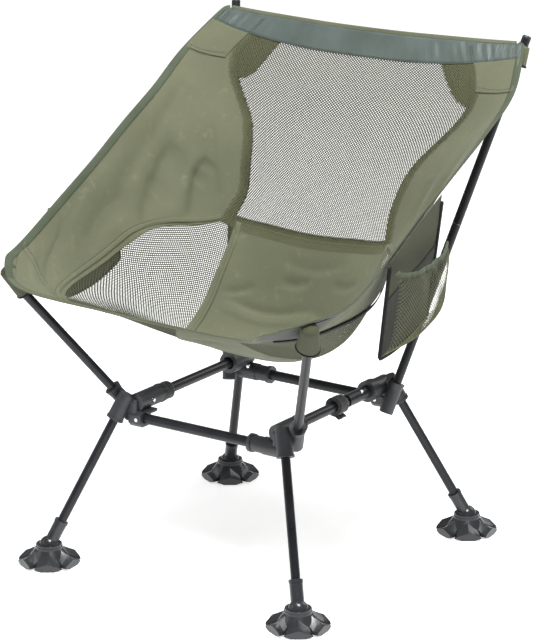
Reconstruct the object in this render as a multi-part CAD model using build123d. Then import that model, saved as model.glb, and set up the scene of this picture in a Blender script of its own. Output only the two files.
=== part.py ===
from build123d import *
import os
from math import cos, pi, radians, sin, sqrt

# Ultralight backpacking chair, millimetres.  +Z is up, the chair faces -Y, and the sitter's left is +X.
# The origin is on the floor, under the middle of the whole chair.  The dimensions below are laid out from the middle of
# the base frame, and save() moves every piece forward by CENTRE_Y.

# ---------------------------------------------------------------- driving dimensions
CENTRE_Y = 7.6          # the whole chair's middle lies this far behind the base frame's
POLE_R = 5.9            # legs and uprights, outside
POLE_WALL = 1.0
BAR_R = 6.7             # side bars and crossbars, outside
BAR_WALL = 1.1
FIT = 0.05              # running clearance on the radius, between parts that move
GAP = 0.4               # clearance between separate pieces that only lie close

HUB_Z = 206.0           # reference height at which the pole lines below are given
SIDE_BAR_X = 110.2
SIDE_BAR_Z = 213.0
CROSSBAR_Z = 193.0
BALL_Z = 24.0           # centre of each foot's ball above the floor
BALL_R = 13.0
SLEEVE_R = 8.5
SLEEVE_TOP = 37.4       # along the leg, from the ball's centre
LEG_SEAT = 14.5         # bottom of the sleeve's blind bore, from the ball's centre
SOCKET_DEPTH = 32.0     # how far a leg goes into its hub
MOUTH_Z = 191.0         # height of the leg socket's mouth

UPRIGHT_FOOT_Z = {"front": 199.0, "back": 184.0}     # lower end of an upright, inside its hub
UPRIGHT_CUP_Z = {"front": 229.0, "back": 220.0}      # rim of the cup that an upright stands in
LEG_SOCKET_R = 10.8
UPRIGHT_SOCKET_R = 9.3
SIDE_SOCKET_R = 12.0    # socket of a side bar
FRONT_REACH = 47.5      # from a front crossbar back to the side socket's mouth
BACK_REACH = 41.5       # from a back crossbar forward to the side socket's mouth
CROSS_SOCKET_R = 10.6   # socket of a crossbar
CROSS_MOUTH_X = 68.0
CLIP_MOUTH_X = 98.0     # the same on the two hubs with a clip
CROSSBAR_HALF = 111.0   # half the length of a crossbar
FERRULE_R = 8.5
FERRULE_START = 32.0    # front end of the thick ferrule on a side bar, along Y
FERRULE_END = 91.0
PIN_R = 2.4             # pins that hold the crossbars in the clip hubs
PIN_X = 104.0
RIVET_R = 2.6
RIVET_SEAT = 1.2
RIVETS = [              # centre of each head, and the way it faces
    ((-SIDE_BAR_X + SIDE_SOCKET_R, -102.0, SIDE_BAR_Z), (1, 0, 0)),
    ((SIDE_BAR_X - SIDE_SOCKET_R, -102.0, SIDE_BAR_Z), (-1, 0, 0)),
    ((SIDE_BAR_X + 0.64 * FERRULE_R, 60.0, SIDE_BAR_Z + 0.77 * FERRULE_R), (0.64, 0, 0.77)),
    ((-SIDE_BAR_X + 10.0, 111.2, CROSSBAR_Z + 9.0), (0, -1, 0)),
]

PETALS = 6
PETAL_TURN = 35.0       # direction of the first petal, degrees from -Y towards +X
PAD_R = 37.0

SIDES = (("right", -1), ("left", 1))
CORD_R = 1.5            # shock cord inside the poles
UPRIGHT_JOINT_Z = 425.0
SHEET = 1.0             # thickness of the seat's cloth
EDGE_TAPE = 2.6         # thickness of the folded edge binding
MESH = 1.0

CORNERS = {
    "front_right": dict(side=-1, ball=(196.0, -203.4), leg=(128.2, -133.8), upright=(132.9, -114.3),
                        tip=(231.9, -230.3, 391.7), crossbar_y=-120.9, clip=True),
    "front_left": dict(side=1, ball=(196.0, -203.4), leg=(128.2, -133.8), upright=(132.9, -114.3),
                       tip=(231.9, -230.3, 391.7), crossbar_y=-120.9, clip=False),
    "back_right": dict(side=-1, ball=(194.0, 198.6), leg=(123.3, 127.1), upright=(131.0, 111.6),
                       tip=(229.0, 270.0, 661.0), crossbar_y=121.2, clip=False),
    "back_left": dict(side=1, ball=(194.0, 198.6), leg=(123.3, 127.1), upright=(131.0, 111.6),
                      tip=(229.0, 270.0, 661.0), crossbar_y=121.2, clip=True),
}

# The slung seat, as half ribs from the centre line out to the left edge, front hem first.
RIBS = [
    [(0, -116, 322), (60, -134, 330), (115, -183, 350), (180, -262, 386), (238, -238, 408)],
    [(0, -65, 288), (72, -80, 296), (138, -118, 326), (200, -172, 372), (253, -175, 417)],
    [(0, -5, 268), (75, -12, 276), (145, -38, 312), (208, -75, 378), (255, -95, 456)],
    [(0, 60, 300), (72, 54, 308), (138, 28, 344), (200, -10, 412), (255, -20, 495)],
    [(0, 111, 392), (64, 110, 396), (122, 105, 405), (190, 72, 450), (258, 50, 532)],
    [(0, 158, 482), (70, 156, 484), (136, 150, 494), (205, 128, 524), (260, 120, 567)],
    [(0, 202, 570), (82, 200, 571), (160, 196, 577), (222, 186, 592), (260, 188, 608)],
    [(0, 244, 655), (60, 246, 655), (120, 249, 656), (180, 253, 657), (236, 256, 659)],
]
SEAT_SEAM = 0.568       # where the seat panel meets the back mesh, as a fraction of the way from hem to top
BAND_SEAM = 0.945       # lower edge of the top band
HEM = 0.018             # width of the front and top hems
TAPE = 0.028            # width of the side binding
# outer seam of a side window, hem to seat seam
WINDOW_OUTER = [0.58, 0.665, 0.715, 0.735, 0.735, 0.72, 0.685, 0.53]
WINDOW_INNER = [0.19, 0.27, 0.345, 0.387, 0.465]   # inner seam of a side window
SEAM_GAP = 0.003        # gap between neighbouring panels, as a fraction
WEBBING = 1.2           # thickness of the webbing sewn outside each side edge
WEBBING_OFFSET = 3.0
WEBBING_IN, WEBBING_OUT = 0.014, 0.05      # outward from the window's outer seam
WEBBING_FRONT, WEBBING_BACK = 0.05, 0.42

BAG_FRONT = (257.0, -95.0, 452.0)      # top front corner of a side bag's backing, under the seat's edge
BAG_BACK = (259.0, 18.0, 512.0)        # top back corner
BAG_RIM_Z = 438.0       # height of the rim at its front end
BAG_RIM_RISE = 12.0     # how much higher its back end is
BAG_RIM = 1.8           # thickness of the bag's elastic rim
BAG_BOTTOM_Z = 328.0
BAG_LEAN = 0.12         # how far the backing leans in for each unit down
BAG_BULGE = 25.0


# ---------------------------------------------------------------- small helpers
def rod(start, end, radius):
    """A round bar between two points."""
    start, end = Vector(*start), Vector(*end)
    axis = end - start
    return Plane(origin=start, z_dir=axis) * Cylinder(radius, axis.length, align=(Align.CENTER, Align.CENTER, Align.MIN))


def tube(start, end, radius, wall):
    """A straight tube between two points."""
    start, end = Vector(*start), Vector(*end)
    over = (end - start).normalized()
    return rod(start, end, radius) - rod(start - over, end + over, radius - wall)


def cone(start, end, start_radius, end_radius):
    """A truncated cone between two points."""
    start, end = Vector(*start), Vector(*end)
    axis = end - start
    shape = Cone(start_radius, end_radius, axis.length, align=(Align.CENTER, Align.CENTER, Align.MIN))
    return Plane(origin=start, z_dir=axis) * shape


def at_height(line, height):
    """The point of a line (a point and a direction) at a given height."""
    point, direction = line
    return point + direction * ((height - point.Z) / direction.Z)


def leg_line(corner):
    """A leg's line: its ball's centre, and the unit vector up along the leg."""
    side, (ball_x, ball_y), (leg_x, leg_y) = corner["side"], corner["ball"], corner["leg"]
    ball = Vector(side * ball_x, ball_y, BALL_Z)
    return ball, (Vector(side * leg_x, leg_y, HUB_Z) - ball).normalized()


def upright_line(corner):
    """An upright's line: its tip, and the unit vector up along it."""
    side, (foot_x, foot_y), (tip_x, tip_y, tip_z) = corner["side"], corner["upright"], corner["tip"]
    tip = Vector(side * tip_x, tip_y, tip_z)
    return tip, (tip - Vector(side * foot_x, foot_y, HUB_Z)).normalized()


def through(values, t):
    """A smooth curve (Catmull-Rom) through evenly spaced values, at t from 0 to 1."""
    last = len(values) - 1
    t = min(max(t, 0.0), 1.0) * last
    i = min(int(t), last - 1)
    f = t - i
    before = values[i - 1] if i > 0 else values[0] * 2 - values[1]
    after = values[i + 2] if i + 2 <= last else values[last] * 2 - values[last - 1]
    here, there = values[i], values[i + 1]
    return (here * 2 + (there - before) * f + (before * 2 - here * 5 + there * 4 - after) * (f * f)
            + (here * 3 - before - there * 3 + after) * (f ** 3)) * 0.5


def across(rib, s):
    """A point of one rib, s from 0 at the centre line to 1 at the edge; the rib is level at the centre."""
    points = [Vector(*p) for p in rib]
    mirrored = Vector(-points[1].X, points[1].Y, points[1].Z)
    whole = [mirrored] + points
    last = len(points) - 1
    t = s * last
    i = min(int(t), last - 1)
    f = t - i
    before, here, there = whole[i], whole[i + 1], whole[i + 2]
    after = whole[i + 3] if i + 3 < len(whole) else there * 2 - here
    return (here * 2 + (there - before) * f + (before * 2 - here * 5 + there * 4 - after) * (f * f)
            + (here * 3 - before - there * 3 + after) * (f ** 3)) * 0.5


def sling(u, v):
    """The middle of the seat's cloth: u from -1 (right edge) to 1 (left), v from 0 (front hem) to 1 (top)."""
    point = through([across(rib, abs(u)) for rib in RIBS], v)
    return Vector(point.X if u >= 0 else -point.X, point.Y, point.Z)


def normal(surface, a, b):
    """The unit normal of surface(a, b), by differences."""
    step = 0.004
    a0, a1 = max(a - step, 0), min(a + step, 1)
    b0, b1 = max(b - step, 0), min(b + step, 1)
    return (surface(a1, b) - surface(a0, b)).cross(surface(a, b1) - surface(a, b0)).normalized()


def sheet(surface, thickness, offset=0.0, count_a=9, count_b=13):
    """A closed thin solid whose middle is surface(a, b), a and b from 0 to 1, moved along its normal by offset."""
    faces = []
    for level in (offset - thickness / 2, offset + thickness / 2):
        grid = []
        for i in range(count_a):
            a = i / (count_a - 1)
            row = []
            for j in range(count_b):
                b = j / (count_b - 1)
                row.append(surface(a, b) + normal(surface, a, b) * level)
            grid.append(row)
        faces.append(Face.make_surface_from_array_of_points(grid))
    lower, upper = faces
    walls = []
    for edge in lower.edges():
        twin = upper.edges().sort_by_distance(edge.position_at(0.5))[0]
        walls.append(Face.make_surface_from_curves(edge, twin))
    return Solid(Shell(faces + walls))


def panel(inner, outer, front, back):
    """The part of the sling between two seams, given as functions of v, and between two values of v."""
    def surface(a, b):
        v = front + (back - front) * b
        low, high = inner(v), outer(v)
        return sling(low + (high - low) * a, v)
    return surface


def save(name, *solids):
    """Write one sub-part, one solid or a group of alike ones, in the chair's own frame."""
    moved = [Pos(0, -CENTRE_Y, 0) * solid for solid in solids]
    shape = moved[0] if len(moved) == 1 else Compound(children=moved)
    shape.label = name
    export_step(shape, f"parts/{name}.step")


def mirrored(shape):
    """The same piece on the sitter's right."""
    return mirror(shape, about=Plane.YZ)


# ---------------------------------------------------------------- seams of the seat
def window_outer(v):
    return through(WINDOW_OUTER, v / SEAT_SEAM)


def window_inner(v):
    return through(WINDOW_INNER, v / SEAT_SEAM)


def mesh_side(v):
    """Side seam of the back mesh: straight from the seat, then flaring to the top corners."""
    t = min(max((v - 0.68) / 0.2, 0.0), 1.0)
    return 0.485 + 0.175 * t * t * (3 - 2 * t)


def wing_inner(v):
    """Inner seam of a wing: along the window, then running smoothly into the side of the back mesh."""
    t = min(max((v - SEAT_SEAM) / 0.08, 0.0), 1.0)
    share = t * t * (3 - 2 * t)
    return window_outer(v) * (1 - share) + mesh_side(v) * share


# ---------------------------------------------------------------- hubs
def hub_end(corner):
    return "front" if corner["crossbar_y"] < 0 else "back"


def side_socket(corner):
    """The socket of a side bar, with its thicker mouth, and the Y of that mouth."""
    bar_y, bar_x = corner["crossbar_y"], corner["side"] * SIDE_BAR_X
    if hub_end(corner) == "front":
        mouth_y, ring_y, ring_r = bar_y + FRONT_REACH, bar_y + FRONT_REACH - 2.5, 12.6
        back_y = bar_y - 4
    else:
        mouth_y, ring_y, ring_r = bar_y - BACK_REACH, bar_y - BACK_REACH + 15, 14.2
        back_y = bar_y + 4
    shape = rod((bar_x, back_y, SIDE_BAR_Z), (bar_x, mouth_y, SIDE_BAR_Z), SIDE_SOCKET_R)
    return shape + rod((bar_x, ring_y, SIDE_BAR_Z), (bar_x, mouth_y, SIDE_BAR_Z), ring_r), mouth_y


def cross_socket(corner, root_x):
    """The socket of a crossbar: a stepped sleeve, or a pinned block with a thin lip."""
    side, bar_y = corner["side"], corner["crossbar_y"]
    if corner["clip"]:
        mouth_x = side * CLIP_MOUTH_X
        block = Pos((root_x + mouth_x) / 2, bar_y, CROSSBAR_Z) * Box(abs(root_x - mouth_x), 23, 21)
        lip_y = bar_y + (8 if bar_y < 0 else -8)
        lip = Pos(mouth_x + side * 3, lip_y, CROSSBAR_Z + 9.2) * Box(22, 20, 2.6)
        return chamfer(block.edges().filter_by(Axis.X), 5) + fillet(lip.edges().filter_by(Axis.Z), 4)
    mouth_x = side * CROSS_MOUTH_X
    sleeve = rod((root_x, bar_y, CROSSBAR_Z), (mouth_x, bar_y, CROSSBAR_Z), CROSS_SOCKET_R)
    rim = rod((mouth_x, bar_y, CROSSBAR_Z), (mouth_x + side * 5, bar_y, CROSSBAR_Z), 12.0)
    return sleeve + rim + rod((side * 90, bar_y, CROSSBAR_Z), (root_x, bar_y, CROSSBAR_Z), 11.6)


def hub(corner):
    """A moulded corner: sockets for a leg, an upright, a side bar and a crossbar, on one core."""
    side, bar_y = corner["side"], corner["crossbar_y"]
    bar_x, root_x = side * SIDE_BAR_X, side * 117
    ball, leg_up = leg_line(corner)
    tip, upright_up = upright_line(corner)
    mouth = at_height((ball, leg_up), MOUTH_Z)
    foot = at_height((tip, upright_up), UPRIGHT_FOOT_Z[hub_end(corner)])
    cup = at_height((tip, upright_up), UPRIGHT_CUP_Z[hub_end(corner)])

    shape = rod(mouth, mouth + leg_up * (SOCKET_DEPTH + 5), LEG_SOCKET_R)
    shape += rod(mouth, mouth + leg_up * 3, LEG_SOCKET_R + 0.8)
    shape += rod(foot - upright_up * 3, cup - upright_up * 7, UPRIGHT_SOCKET_R)
    shape += cone(cup - upright_up * 9, cup, UPRIGHT_SOCKET_R, UPRIGHT_SOCKET_R + 1.7)
    side_shape, side_mouth = side_socket(corner)
    shape += side_shape + cross_socket(corner, root_x)
    core = Pos(side * 116, bar_y, (SIDE_BAR_Z + CROSSBAR_Z) / 2) * Box(20, 20, 30)
    shape += fillet(core.edges(), 4)

    shape -= rod(mouth - leg_up * 5, mouth + leg_up * SOCKET_DEPTH, POLE_R + FIT)
    shape -= rod(foot, cup + upright_up * 5, POLE_R + FIT)
    past = 5 if bar_y < 0 else -5
    shape -= rod((bar_x, side_bar_end(bar_y), SIDE_BAR_Z), (bar_x, side_mouth + past, SIDE_BAR_Z), BAR_R + FIT)
    shape -= rod((side * CROSSBAR_HALF, bar_y, CROSSBAR_Z), (side * 60, bar_y, CROSSBAR_Z), BAR_R + FIT)
    if hub_end(corner) == "back":
        shape -= rod((bar_x, FERRULE_END, SIDE_BAR_Z), (bar_x, side_mouth - 5, SIDE_BAR_Z), FERRULE_R + FIT)
    if corner["clip"]:
        shape -= crossbar_pin(corner, PIN_R + FIT)
    for place in RIVETS:
        shape -= rivet_seat(place)
    return shape


def side_bar_end(bar_y):
    """Where a side bar stops inside its hub, along Y."""
    return bar_y + 13 if bar_y < 0 else bar_y - 17


# ---------------------------------------------------------------- feet
def petal():
    """One petal of a foot, pointing along +X, from the floor up to the collar."""
    sections = [
        (9.0, [(-5.5, 9), (-5.5, 19), (0, 25), (5.5, 19), (5.5, 9), (3, 8), (-3, 8)]),
        (29.0, [(-15.6, 2.5), (-14.8, 7), (0, 14.5), (14.8, 7), (15.6, 2.5), (6.5, -0.4), (-6.5, -0.4)]),
        (PAD_R, [(-17.2, 3.2), (-15.2, 6.4), (0, 10.5), (15.2, 6.4), (17.2, 3.2), (7, -0.4), (-7, -0.4)]),
    ]
    wires = []
    for radius, outline in sections:
        wires.append(Wire.make_polygon([(radius, t, z) for t, z in outline], close=True))
    return Solid.make_loft(wires, ruled=True)


def claw():
    """A small spur between two petals."""
    outline = Wire.make_polygon([(20, -1.6, 9), (34, -1.6, 0), (29.5, -1.6, 0), (20, -1.6, 4)], close=True)
    return extrude(Face(outline), amount=3.2, dir=(0, 1, 0))


def foot_pad(corner):
    """A rubber foot: six petals round a ball socket with a collar."""
    one_petal, one_claw = petal(), claw()
    shape = cone((0, 0, 4), (0, 0, BALL_Z), 31, 15.5)
    shape += rod((0, 0, 18), (0, 0, BALL_Z + 3), 16.8)
    shape += rod((0, 0, 19), (0, 0, BALL_Z), 17.6)
    for k in range(PETALS):
        shape += Rot(0, 0, PETAL_TURN - 90 + k * 360 / PETALS) * one_petal
        shape += Rot(0, 0, PETAL_TURN - 90 + (k + 0.5) * 360 / PETALS) * one_claw
    shape -= cone((0, 0, -1), (0, 0, 7), 26, 10)
    shape -= Pos(0, 0, -5) * Box(100, 100, 10)
    shape -= Pos(0, 0, BALL_Z) * Sphere(BALL_R + FIT)
    shape -= cone((0, 0, BALL_Z + 1.5), (0, 0, BALL_Z + 4), BALL_R - 0.4, BALL_R + 1.2)
    ball, _ = leg_line(corner)
    return Pos(ball.X, ball.Y, 0) * shape


def leg_tip(corner):
    """The moulded end of a leg: a sleeve with a ball under it."""
    ball, up = leg_line(corner)
    shape = Pos(*ball) * Sphere(BALL_R)
    shape += rod(ball, ball + up * SLEEVE_TOP, SLEEVE_R)
    shape += rod(ball + up * (SLEEVE_TOP - 4), ball + up * SLEEVE_TOP, SLEEVE_R + 0.6)
    return shape - rod(ball + up * LEG_SEAT, ball + up * (SLEEVE_TOP + 5), POLE_R + FIT)


def leg_ends(corner):
    """Lower and upper end of a leg's tube."""
    ball, up = leg_line(corner)
    mouth = at_height((ball, up), MOUTH_Z)
    return ball + up * (LEG_SEAT + GAP), mouth + up * (SOCKET_DEPTH - GAP)


# ---------------------------------------------------------------- soft pieces that are not the sling
def strap(centre_y, side, outer_r, width):
    """A hook-and-loop strap wound round a side bar, with its loose tab."""
    x, z = side * SIDE_BAR_X, SIDE_BAR_Z
    start, end = (x, centre_y - width / 2, z), (x, centre_y + width / 2, z)
    shape = rod(start, end, outer_r)
    tab = Pos(x, centre_y, z - outer_r - 1.2) * Box(7, width, 5)
    shape += tab
    return shape - rod((x, centre_y - width, z), (x, centre_y + width, z), BAR_R + FIT)


def bag_backing(a, b):
    """The bag's backing sheet: a from front to back, b from the seat's edge down to the bottom."""
    top = Vector(*BAG_FRONT) + (Vector(*BAG_BACK) - Vector(*BAG_FRONT)) * a
    bottom_z = BAG_BOTTOM_Z + 26 * a * a
    drop = (top.Z - bottom_z) * b
    return Vector(top.X - BAG_LEAN * drop, top.Y - 4 * b * a, top.Z - drop)


def bag_front(a, b):
    """The bag's mesh front: a from front to back, b from the rim down to the bottom."""
    bottom_z = BAG_BOTTOM_Z + 26 * a * a
    rim_z = BAG_RIM_Z + BAG_RIM_RISE * a
    z = rim_z - (rim_z - bottom_z) * b
    top = Vector(*BAG_FRONT) + (Vector(*BAG_BACK) - Vector(*BAG_FRONT)) * a
    backing_x = top.X - BAG_LEAN * (top.Z - z)
    swell = sin(pi * (0.04 + 0.92 * a)) ** 0.42 * (1 - (2 * b - 0.85) ** 4 * 0.55) * cos(pi / 2 * b ** 5 * 0.93)
    return Vector(backing_x + 1.8 + BAG_BULGE * swell, top.Y - 4 * b * a, z)


def bag_rim(a, b):
    """The elastic rim above the bag's mesh: a from front to back, b from its lower to its upper edge."""
    return bag_front(a, -0.014 - 0.045 * b)


def rivet(place):
    """A low domed rivet head, let into a surface."""
    centre, direction = Vector(*place[0]), Vector(*place[1]).normalized()
    head = rod(centre - direction * RIVET_SEAT, centre + direction * 1.4, RIVET_R)
    return fillet(head.edges().sort_by_distance(centre + direction * 10)[0], 0.9)


def rivet_seat(place):
    """The shallow hole that a rivet head sits in."""
    centre, direction = Vector(*place[0]), Vector(*place[1]).normalized()
    return rod(centre - direction * (RIVET_SEAT + FIT), centre + direction * 5, RIVET_R + FIT)


def crossbar_pin(corner, radius):
    """The pin that holds a crossbar in a clip hub."""
    x, y = corner["side"] * PIN_X, corner["crossbar_y"]
    return rod((x, y - 12.6, CROSSBAR_Z), (x, y + 12.6, CROSSBAR_Z), radius)


def tip_cap(corner):
    """The plug in the top end of an upright."""
    tip, up = upright_line(corner)
    shape = rod(tip, tip + up * 3.5, POLE_R)
    shape = fillet(shape.edges().sort_by_distance(tip + up * 20)[0], 2.5)
    return shape + rod(tip - up * 9, tip, POLE_R - POLE_WALL - FIT)


def pocket(corner, length, radius):
    """A cloth sheath over the top end of an upright."""
    tip, up = upright_line(corner)
    shape = rod(tip - up * length, tip + up * 6, radius)
    return shape - rod(tip - up * (length + 5), tip + up * 4.2, POLE_R + 0.3)


def base_frame():
    """Hubs, legs, feet, side bars and crossbars."""
    for name, corner in CORNERS.items():
        save(f"hub_{name}", hub(corner))
        save(f"leg_{name}", tube(*leg_ends(corner), POLE_R, POLE_WALL))
        save(f"leg_tip_{name}", leg_tip(corner))
        save(f"foot_pad_{name}", foot_pad(corner))
    front, back = CORNERS["front_left"], CORNERS["back_left"]
    front_y, back_y = side_bar_end(front["crossbar_y"]) + GAP, side_bar_end(back["crossbar_y"]) - GAP
    for word, side in SIDES:
        x = side * SIDE_BAR_X
        save(f"side_bar_{word}", tube((x, front_y, SIDE_BAR_Z), (x, back_y, SIDE_BAR_Z), BAR_R, BAR_WALL))
    for word, corner in (("front", front), ("back", back)):
        y, half = corner["crossbar_y"], CROSSBAR_HALF - GAP
        bar = tube((-half, y, CROSSBAR_Z), (half, y, CROSSBAR_Z), BAR_R, BAR_WALL)
        for pinned in CORNERS.values():
            if pinned["clip"]:
                bar -= crossbar_pin(pinned, PIN_R + FIT)
        save(f"crossbar_{word}", bar)
    start, end = (SIDE_BAR_X, FERRULE_START, SIDE_BAR_Z), (SIDE_BAR_X, FERRULE_END - GAP, SIDE_BAR_Z)
    ferrule = tube(start, end, FERRULE_R, FERRULE_R - BAR_R - FIT)
    for place in RIVETS:
        ferrule -= rivet_seat(place)
    save("side_bar_ferrule", ferrule)


def uprights():
    """Front uprights in one piece, back uprights in two with a joint sleeve, end caps and shock cords."""
    sleeves, caps = [], []
    for name, corner in CORNERS.items():
        ball, leg_up = leg_line(corner)
        tip, up = upright_line(corner)
        foot = at_height((tip, up), UPRIGHT_FOOT_Z[hub_end(corner)]) + up * GAP
        caps.append(tip_cap(corner))
        if hub_end(corner) == "front":
            save(f"upright_{name}", tube(foot, tip, POLE_R, POLE_WALL))
        else:
            joint = at_height((tip, up), UPRIGHT_JOINT_Z)
            save(f"upright_lower_{name}", tube(foot, joint - up * GAP / 2, POLE_R, POLE_WALL))
            save(f"upright_upper_{name}", tube(joint + up * GAP / 2, tip, POLE_R, POLE_WALL))
            sleeves.append(tube(joint - up * 30, joint + up * 30, POLE_R - POLE_WALL - FIT, 0.9))
        mouth = at_height((ball, leg_up), MOUTH_Z)
        leg_cord = rod(ball + leg_up * 22, mouth + leg_up * (SOCKET_DEPTH - 2), CORD_R)
        upright_cord = rod(foot + up * 2, tip - up * 10, CORD_R)
        save(f"shock_cord_{name}", leg_cord, upright_cord)
    save("upright_joint_sleeves", *sleeves)
    save("upright_tip_caps", *caps)


def fasteners():
    """Rivets, crossbar pins and the two straps."""
    front_y = CORNERS["front_left"]["crossbar_y"]
    save("hub_rivets", *[rivet(place) for place in RIVETS])
    pinned = [corner for corner in CORNERS.values() if corner["clip"]]
    save("crossbar_pins", *[crossbar_pin(corner, PIN_R) for corner in pinned])
    save("strap_right", strap(front_y + 56.3, -1, 12.6, 16))
    save("strap_left", strap(12.0, 1, 13.4, 18))


def seat():
    """The slung seat: cloth and mesh panels, hems, edge tapes, pockets for the uprights and side webbing."""
    low, high = HEM + SEAM_GAP, SEAT_SEAM - SEAM_GAP
    save("seat_panel", sheet(panel(lambda v: -window_inner(v) + SEAM_GAP, lambda v: window_inner(v) - SEAM_GAP,
                                   low, high), SHEET))
    save("back_mesh", sheet(panel(lambda v: -mesh_side(v) + 6 * SEAM_GAP, lambda v: mesh_side(v) - 6 * SEAM_GAP,
                                  SEAT_SEAM + SEAM_GAP, BAND_SEAM - SEAM_GAP), MESH))
    save("top_band", sheet(panel(lambda v: -1 + TAPE + SEAM_GAP, lambda v: 1 - TAPE - SEAM_GAP,
                                 BAND_SEAM + SEAM_GAP, 1 - HEM - SEAM_GAP), SHEET, count_a=17, count_b=5))
    save("front_hem", sheet(panel(lambda v: -0.995 + TAPE, lambda v: 0.995 - TAPE, 0.0, HEM), EDGE_TAPE,
                            count_a=25, count_b=4))
    save("top_hem", sheet(panel(lambda v: -0.995 + TAPE, lambda v: 0.995 - TAPE, 1 - HEM, 1.0), EDGE_TAPE,
                          count_a=17, count_b=4))
    window = sheet(panel(lambda v: window_inner(v) + SEAM_GAP, lambda v: window_outer(v) - SEAM_GAP, low, high), MESH)
    wing = sheet(panel(lambda v: wing_inner(v) + SEAM_GAP, lambda v: 1 - TAPE - SEAM_GAP, low + 2 * SEAM_GAP,
                       BAND_SEAM - SEAM_GAP), SHEET, count_b=23)
    tape = sheet(panel(lambda v: 1 - TAPE, lambda v: 1, 0.0, 1.0), EDGE_TAPE, count_a=4, count_b=25)
    webbing = sheet(panel(lambda v: window_outer(v) + WEBBING_IN, lambda v: window_outer(v) + WEBBING_OUT,
                          WEBBING_FRONT, WEBBING_BACK), WEBBING, offset=-WEBBING_OFFSET, count_a=4, count_b=17)
    backing = sheet(bag_backing, SHEET)
    bag_mesh = sheet(bag_front, MESH, count_a=17, count_b=13)
    rim = sheet(bag_rim, BAG_RIM, count_a=17, count_b=3)
    for word, side in SIDES:
        for name, shape in (("side_mesh", window), ("wing", wing), ("side_tape", tape), ("side_webbing", webbing),
                            ("bag_backing", backing), ("bag_mesh", bag_mesh), ("bag_rim", rim)):
            save(f"{name}_{word}", shape if side > 0 else mirrored(shape))
    for name, corner in CORNERS.items():
        save(f"pole_pocket_{name}", pocket(corner, 34, 7.6))


def main():
    os.makedirs("parts", exist_ok=True)
    base_frame()
    uprights()
    fasteners()
    seat()


if __name__ == "__main__":
    main()
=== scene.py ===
import math

import bpy
import numpy as np
from mathutils import Matrix, Vector


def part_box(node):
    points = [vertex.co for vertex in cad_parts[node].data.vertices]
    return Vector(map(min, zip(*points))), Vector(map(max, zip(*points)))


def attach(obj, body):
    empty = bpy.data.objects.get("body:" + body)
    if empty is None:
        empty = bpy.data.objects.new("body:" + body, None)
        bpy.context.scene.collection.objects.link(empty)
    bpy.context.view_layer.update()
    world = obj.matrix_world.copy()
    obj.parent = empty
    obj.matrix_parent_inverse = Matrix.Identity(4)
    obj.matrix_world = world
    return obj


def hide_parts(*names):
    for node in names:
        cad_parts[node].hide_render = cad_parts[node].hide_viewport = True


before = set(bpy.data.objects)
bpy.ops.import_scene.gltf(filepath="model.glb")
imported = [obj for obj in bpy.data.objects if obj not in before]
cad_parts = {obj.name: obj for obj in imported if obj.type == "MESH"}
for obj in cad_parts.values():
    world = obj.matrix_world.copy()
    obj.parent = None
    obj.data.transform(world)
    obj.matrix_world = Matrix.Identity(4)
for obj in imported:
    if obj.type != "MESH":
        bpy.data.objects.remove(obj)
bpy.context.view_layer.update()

# The looks of an ultralight camping chair.  Metres; +Z is up, the chair faces -Y, +X is the sitter's left.

MM = 0.001
SIDES = (("right", -1), ("left", 1))

# ---------------- the slung seat's shape
# Half ribs from the centre line out to the left edge, front hem first, in mm from the base frame's middle.
RIBS = np.array([
    [(0, -116, 322), (60, -134, 330), (115, -183, 350), (180, -262, 386), (238, -238, 408)],
    [(0, -65, 288), (72, -80, 296), (138, -118, 326), (200, -172, 372), (253, -175, 417)],
    [(0, -5, 268), (75, -12, 276), (145, -38, 312), (208, -75, 378), (255, -95, 456)],
    [(0, 60, 300), (72, 54, 308), (138, 28, 344), (200, -10, 412), (255, -20, 495)],
    [(0, 111, 392), (64, 110, 396), (122, 105, 405), (190, 72, 450), (258, 50, 532)],
    [(0, 158, 482), (70, 156, 484), (136, 150, 494), (205, 128, 524), (260, 120, 567)],
    [(0, 202, 570), (82, 200, 571), (160, 196, 577), (222, 186, 592), (260, 188, 608)],
    [(0, 244, 655), (60, 246, 655), (120, 249, 656), (180, 253, 657), (236, 256, 659)],
], float)
BASE_Y = -7.6                       # the base frame's middle in the chair's own frame
RIBS = (RIBS + (0, BASE_Y, 0)) * MM
SPANS_ALONG, SPANS_ACROSS = RIBS.shape[0] - 1, RIBS.shape[1] - 1
ACROSS = np.concatenate([RIBS[:, 1:2] * (-1, 1, 1), RIBS, 2 * RIBS[:, -1:] - RIBS[:, -2:-1]], axis=1)

HEM_V = 0.004                       # where panels begin, just inside the front hem
SEAT_SEAM = 0.568                   # where the seat panel meets the back net, as a share of hem to top
BAND_SEAM = 0.945
TOP_V = 0.992                       # where panels end, just inside the top hem
WINDOW_OUTER = np.array([0.58, 0.665, 0.715, 0.735, 0.735, 0.72, 0.685, 0.53])
WINDOW_INNER = np.array([0.19, 0.27, 0.345, 0.387, 0.465])
LEFT_SHIFT = 0.075                  # how much further out the left window's inner seam ends
CORNER_U, CORNER_V = 0.14, 0.07     # size of the front corners' rounding
LAP = 0.012                         # how far a panel runs under its neighbour's seam

CLOTH_T = 0.8 * MM
BINDING_W, BINDING_T = 10.5 * MM, 2.7 * MM
TOP_BINDING_W = 7 * MM
SEAM_W, SEAM_T = 7 * MM, 1.3 * MM   # folded seam allowances
WEBBING_W, WEBBING_T = 9 * MM, 1.4 * MM

NET_PITCH, NET_STRAND = 3.9 * MM, 1.3 * MM
NET_COVER = 0.72                    # share of the seat's nets that is thread
NET_HEM = 0.042                     # width of the doubled net along the back's side seams

STITCH, STITCH_GAP, THREAD_R = 2.6 * MM, 1.3 * MM, 0.32 * MM
STITCHES = []                       # rows of thread, joined into one piece at the end

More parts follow.
